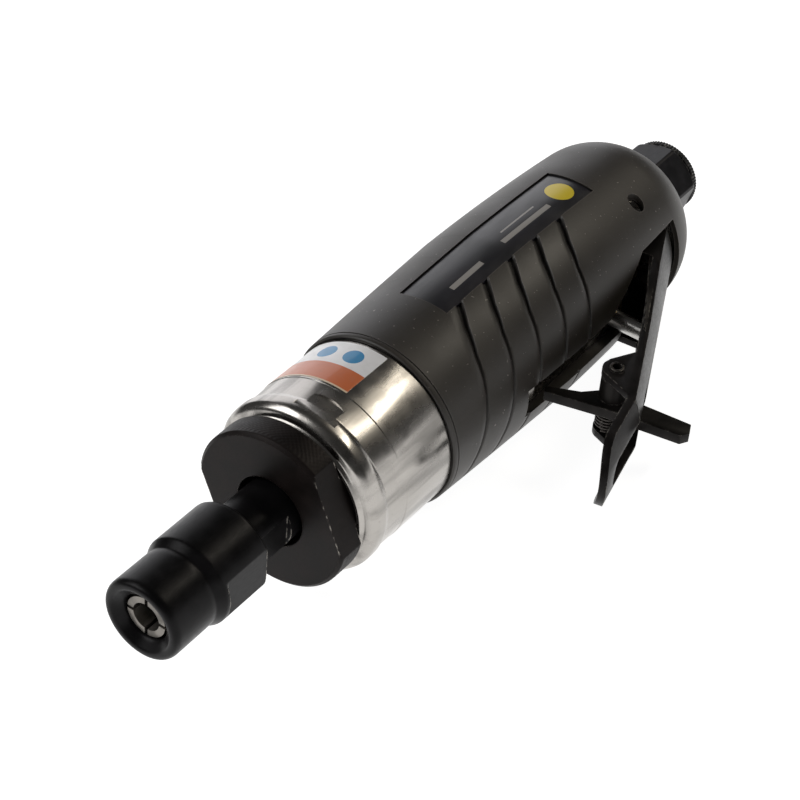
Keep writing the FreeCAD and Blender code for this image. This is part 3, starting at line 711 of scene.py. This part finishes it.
def make_barrel():
    """Motor housing: bead, polished barrel, air passages and the pockets of the lever and latch."""
    outline = soften([
        (41.8, 15.45), (41.8, 16.1, 0.2), (42.5, 16.5, 0.3), (42.9, 17.9, 0.5), (44.1, 18.85, 0.8),
        (46.6, 18.85, 0.7), (47.6, 18.4, 0.3), (53.4, 18.5, 0.05), (53.55, BARREL, 0.05),
        (67.8, BARREL, 0.1), (67.9, 18.35), (150.9, 18.35), (153.1, 17.95), (158.2, 16.1), (162.3, 12.7),
        (164.2, 9.3), (165.8, 9.3, 0.2), (165.8, 7.5), (153.5, 7.5), (153.5, 4.0), (WELL_STATION, 4.0),
        (WELL_STATION, 0.0), (121.7, 0.0), (121.7, 13.0), (51.9, 13.0), (51.9, 15.45)])
    bm = lathe(outline, 384)
    pocket = [(129.3, -10.4), (129.3, 10.4), (151.6, 10.4), (151.6, -10.4)]
    slot = [(97.4, -3.4), (97.4, 3.4), (118.0, 3.4), (118.0, -3.4)]
    cutters = [prism(pocket, 7.2, 30), prism(slot, 13.75, 30), rod(*LEVER_PIN, 1.52, -20, 20)]
    cutters += [wrench_flat(turn) for turn in HOUSING_FLATS]
    cutters += [prism(circle(WELL_STATION, 0.0, radius, 64), low, high)
                for radius, low, high in WELL_STEPS]
    finish_piece("barrel_shell", carve(bm, cutters), "housing", "housing_alloy",
                 polished("housing_alloy", (0.43, 0.41, 0.385), 0.20), "motor_housing")


def clamp_shape(station, angle, radius):
    """Radius of the clamp nut: a fine diamond knurl on its rim, and two flats."""
    if radius > 17.0 and 36.5 < station < 40.9:
        turn = math.radians(angle)
        lean = station * 6.3
        radius += 0.035 * (math.sin(104 * turn + lean) + math.sin(104 * turn - lean))
    if radius > 14:
        radius = flat(radius, angle, 14.6, CLAMP_FLATS)
    return radius


def make_clamp_nut():
    """Black ring that closes the front of the housing."""
    outline = soften([
        (35.3, 7.6, 0.3), (35.3, 16.5, 0.12), (35.9, 17.2, 0.2), (41.4, 17.2, 0.25), (41.4, 15.4),
        (51.6, 15.4), (51.6, 13.0), (43.4, 13.0), (43.4, 11.4), (41.0, 11.4), (41.0, 7.6)])
    finish_piece("clamp_ring", lathe(divide(outline, 0.35), 720, clamp_shape), "housing", "clamp_black",
                 black_oxide("clamp_black", (0.0065, 0.0047, 0.0043), 0.44, 0.9, 0.2), "clamp_nut")


def make_label():
    """Plain label on the barrel: white with an orange stripe and two blue dots."""
    n = Nodes("label_print")
    x, y, z = n.split()
    stripe = n.math("GREATER_THAN", x, -LABEL_MIDDLE * MM)
    edge = n.math("GREATER_THAN", x, -(LABEL_FRONT + 0.35) * MM)
    base = n.mix(stripe, (0.86, 0.86, 0.88), (0.62, 0.16, 0.055))
    base = n.mix(edge, base, (0.78, 0.62, 0.45))
    for angle in LABEL_DOTS:
        turn = math.radians(angle)
        side = n.math("SUBTRACT", n.math("MULTIPLY", z, math.cos(turn)),
                      n.math("MULTIPLY", y, math.sin(turn)))
        dx = n.math("POWER", n.math("MULTIPLY", n.math("ADD", x, 63.2 * MM), 1000 / 2.1), 2.0)
        dy = n.math("POWER", n.math("MULTIPLY", side, 1000 / 2.1), 2.0)
        above = n.math("GREATER_THAN", z, 0.0)
        dot = n.math("MULTIPLY", n.math("LESS_THAN", n.math("ADD", dx, dy), 1.0), above)
        base = n.mix(dot, base, (0.02, 0.25, 0.52))
    faint = n.noise(500, 4)
    base = n.mix(n.ramp(faint, 0.45, 0.8, 0.0, 0.12), base, (0.3, 0.27, 0.25))
    material = n.set(Base_Color=base, Roughness=n.ramp(faint, 0.3, 0.7, 0.28, 0.40), Coat_Weight=0.3,
                     Normal=n.bump(faint, 0.00001, 0.3))
    bm = bmesh.new()
    layers = []
    for radius in (BARREL + 0.01, BARREL + 0.07):
        layers.append([[bm.verts.new(around(LABEL_FRONT + 0.5 * i, 82.0 + 2.0 * k, radius))
                        for i in range(27)] for k in range(52)])
    slab(bm, *layers)
    finish_piece("barrel_label", bm, "housing", "nameplate_black", material)


make_barrel()
make_clamp_nut()
make_label()


# ---------------------------------------------------------------- collet nut and spindle

def make_collet_nut():
    """Stepped nut with a dished mouth and two flats at its rear."""
    outline = soften([
        (0.9, 4.8, 0.2), (0.0, 4.9, 0.5), (-1.0, 6.1, 0.7), (-1.6, 6.8, 0.4), (-1.6, 8.0, 0.6),
        (-0.7, 8.6, 0.7), (8.6, 8.55, 0.5), (9.6, 8.4, 0.3), (10.2, 8.75, 0.15), (11.5, 9.5, 0.35),
        (24.0, 9.5, 0.7), (24.0, 6.55), (9.6, 6.55), (9.6, 5.6), (3.0, 5.45)])

    def shape(station, angle, radius):
        if station > 12.6 and radius > 8:
            return flat(radius, angle, 8.4, (0.0, 180.0))
        return radius

    finish_piece("nut_shell", lathe(divide(outline, 0.4), 320, shape), "nut", "nut_black_oxide",
                 black_oxide("nut_black_oxide", (0.0055, 0.0052, 0.0056), 0.34, 1.0, 0.3), "collet_nut")


def make_spindle():
    """Spindle of the CAD model with its edges rounded."""
    piece = refined("spindle", 0.2)
    finish_piece("spindle_shaft", piece, "spindle_group", "spindle_steel",
                 black_oxide("spindle_steel", (0.0055, 0.0052, 0.0056), 0.34, 0.9, 0.3), "spindle")


make_collet_nut()
make_spindle()
# The collet's steel colour is darker than bare steel as painted shade, for the shade inside the nut's
# mouth.
finish_piece("collet_jaws", refined("collet", 0.08, 2), "spindle_group", "collet_steel",
             polished("collet_steel", (0.22, 0.205, 0.185), 0.34), "collet")


# ---------------------------------------------------------------- air inlet

def make_inlet():
    """Bushing with a hexagon and a finely serrated rim."""
    def shape(station, angle, radius):
        if 166.0 < station < 177.2 and radius > 7.6:
            return flat(radius, angle, 8.0, range(45, 405, 60))
        if station > 177.3 and radius > 7.9:
            return radius - 0.14 * (0.5 - 0.5 * math.cos(math.radians(angle * 72))) ** 0.6
        return radius

    outline = soften([
        (153.8, 4.0), (153.8, 7.35), (166.1, 7.35), (166.1, 9.04, 0.3), (176.2, 9.04, 0.5),
        (177.1, 7.75, 0.2), (177.3, 8.3, 0.1), (178.6, 8.3, 0.25), (178.6, 5.6, 0.4), (165.0, 5.6),
        (164.0, 4.0)])
    finish_piece("inlet_fitting", lathe(divide(outline, 0.4), 720, shape), "housing", "inlet_black",
                 black_oxide("inlet_black", (0.012, 0.0115, 0.013), 0.36, 0.5, 0.4), "inlet_bushing")


make_inlet()


# ---------------------------------------------------------------- lever and latch

oxide = black_oxide("lever_oxide", (0.008, 0.0070, 0.0068), 0.36, 0.25, 0.25)
finish_piece("lever_plate", refined("lever", 0.28), "lever_group", "lever_steel", oxide, "lever")
finish_piece("latch_bar", refined("latch", 0.7, 4), "latch_group", "latch_steel",
             black_oxide("latch_oxide", (0.010, 0.0088, 0.0082), 0.36, 0.3, 0.35), "latch")
finish_piece("latch_roll_pin", refined("latch_pin", 0.12, 2), "lever_group", "latch_pin_steel",
             black_oxide("roll_pin_oxide", (0.03, 0.027, 0.025), 0.30, 1.0), "latch_pin")


# ---------------------------------------------------------------- materials of the carried-over pieces

def dress(node, material):
    """Gives a CAD node that stays in view its material."""
    data = frame["nodes"][node].data
    data.materials.clear()
    data.materials.append(material)


steel = plain_metal("ground_steel", (0.56, 0.55, 0.53), 0.22)
iron = plain_metal("ground_iron", (0.34, 0.33, 0.32), 0.34)
brass = plain_metal("turned_brass", (0.72, 0.53, 0.24), 0.26)
resin = soft_matter("fibre_resin", (0.30, 0.17, 0.08), 0.5, 1600, 0.00003)
felt = soft_matter("pressed_felt", (0.16, 0.15, 0.135), 0.95, 2600, 0.0001)
seal = soft_matter("seal_rubber", (0.02, 0.02, 0.02), 0.5, 1800, 0.00002)
spring_wire = black_oxide("spring_wire", (0.05, 0.045, 0.042), 0.28, 0.3, 0.9)
BEARINGS = [f"{end}_bearing_{part}" for end in ("front", "rear")
            for part in ("outer_race", "inner_race", "balls")]
DRESSING = {
    steel: ["cylinder_liner", "rotor", "dowel_pin", "lever_pin", "valve_stem", "valve_spring"] + BEARINGS,
    iron: ["front_end_plate", "rear_end_plate"],
    brass: ["inlet_strainer", "valve_bushing", "valve_plug"],
    resin: [f"vane_{number}" for number in range(1, 5)],
    felt: ["dust_felt"],
    seal: ["valve_seal"],
    spring_wire: ["latch_spring"],
}
for material, members in DRESSING.items():
    for node in members:
        dress(node, material)
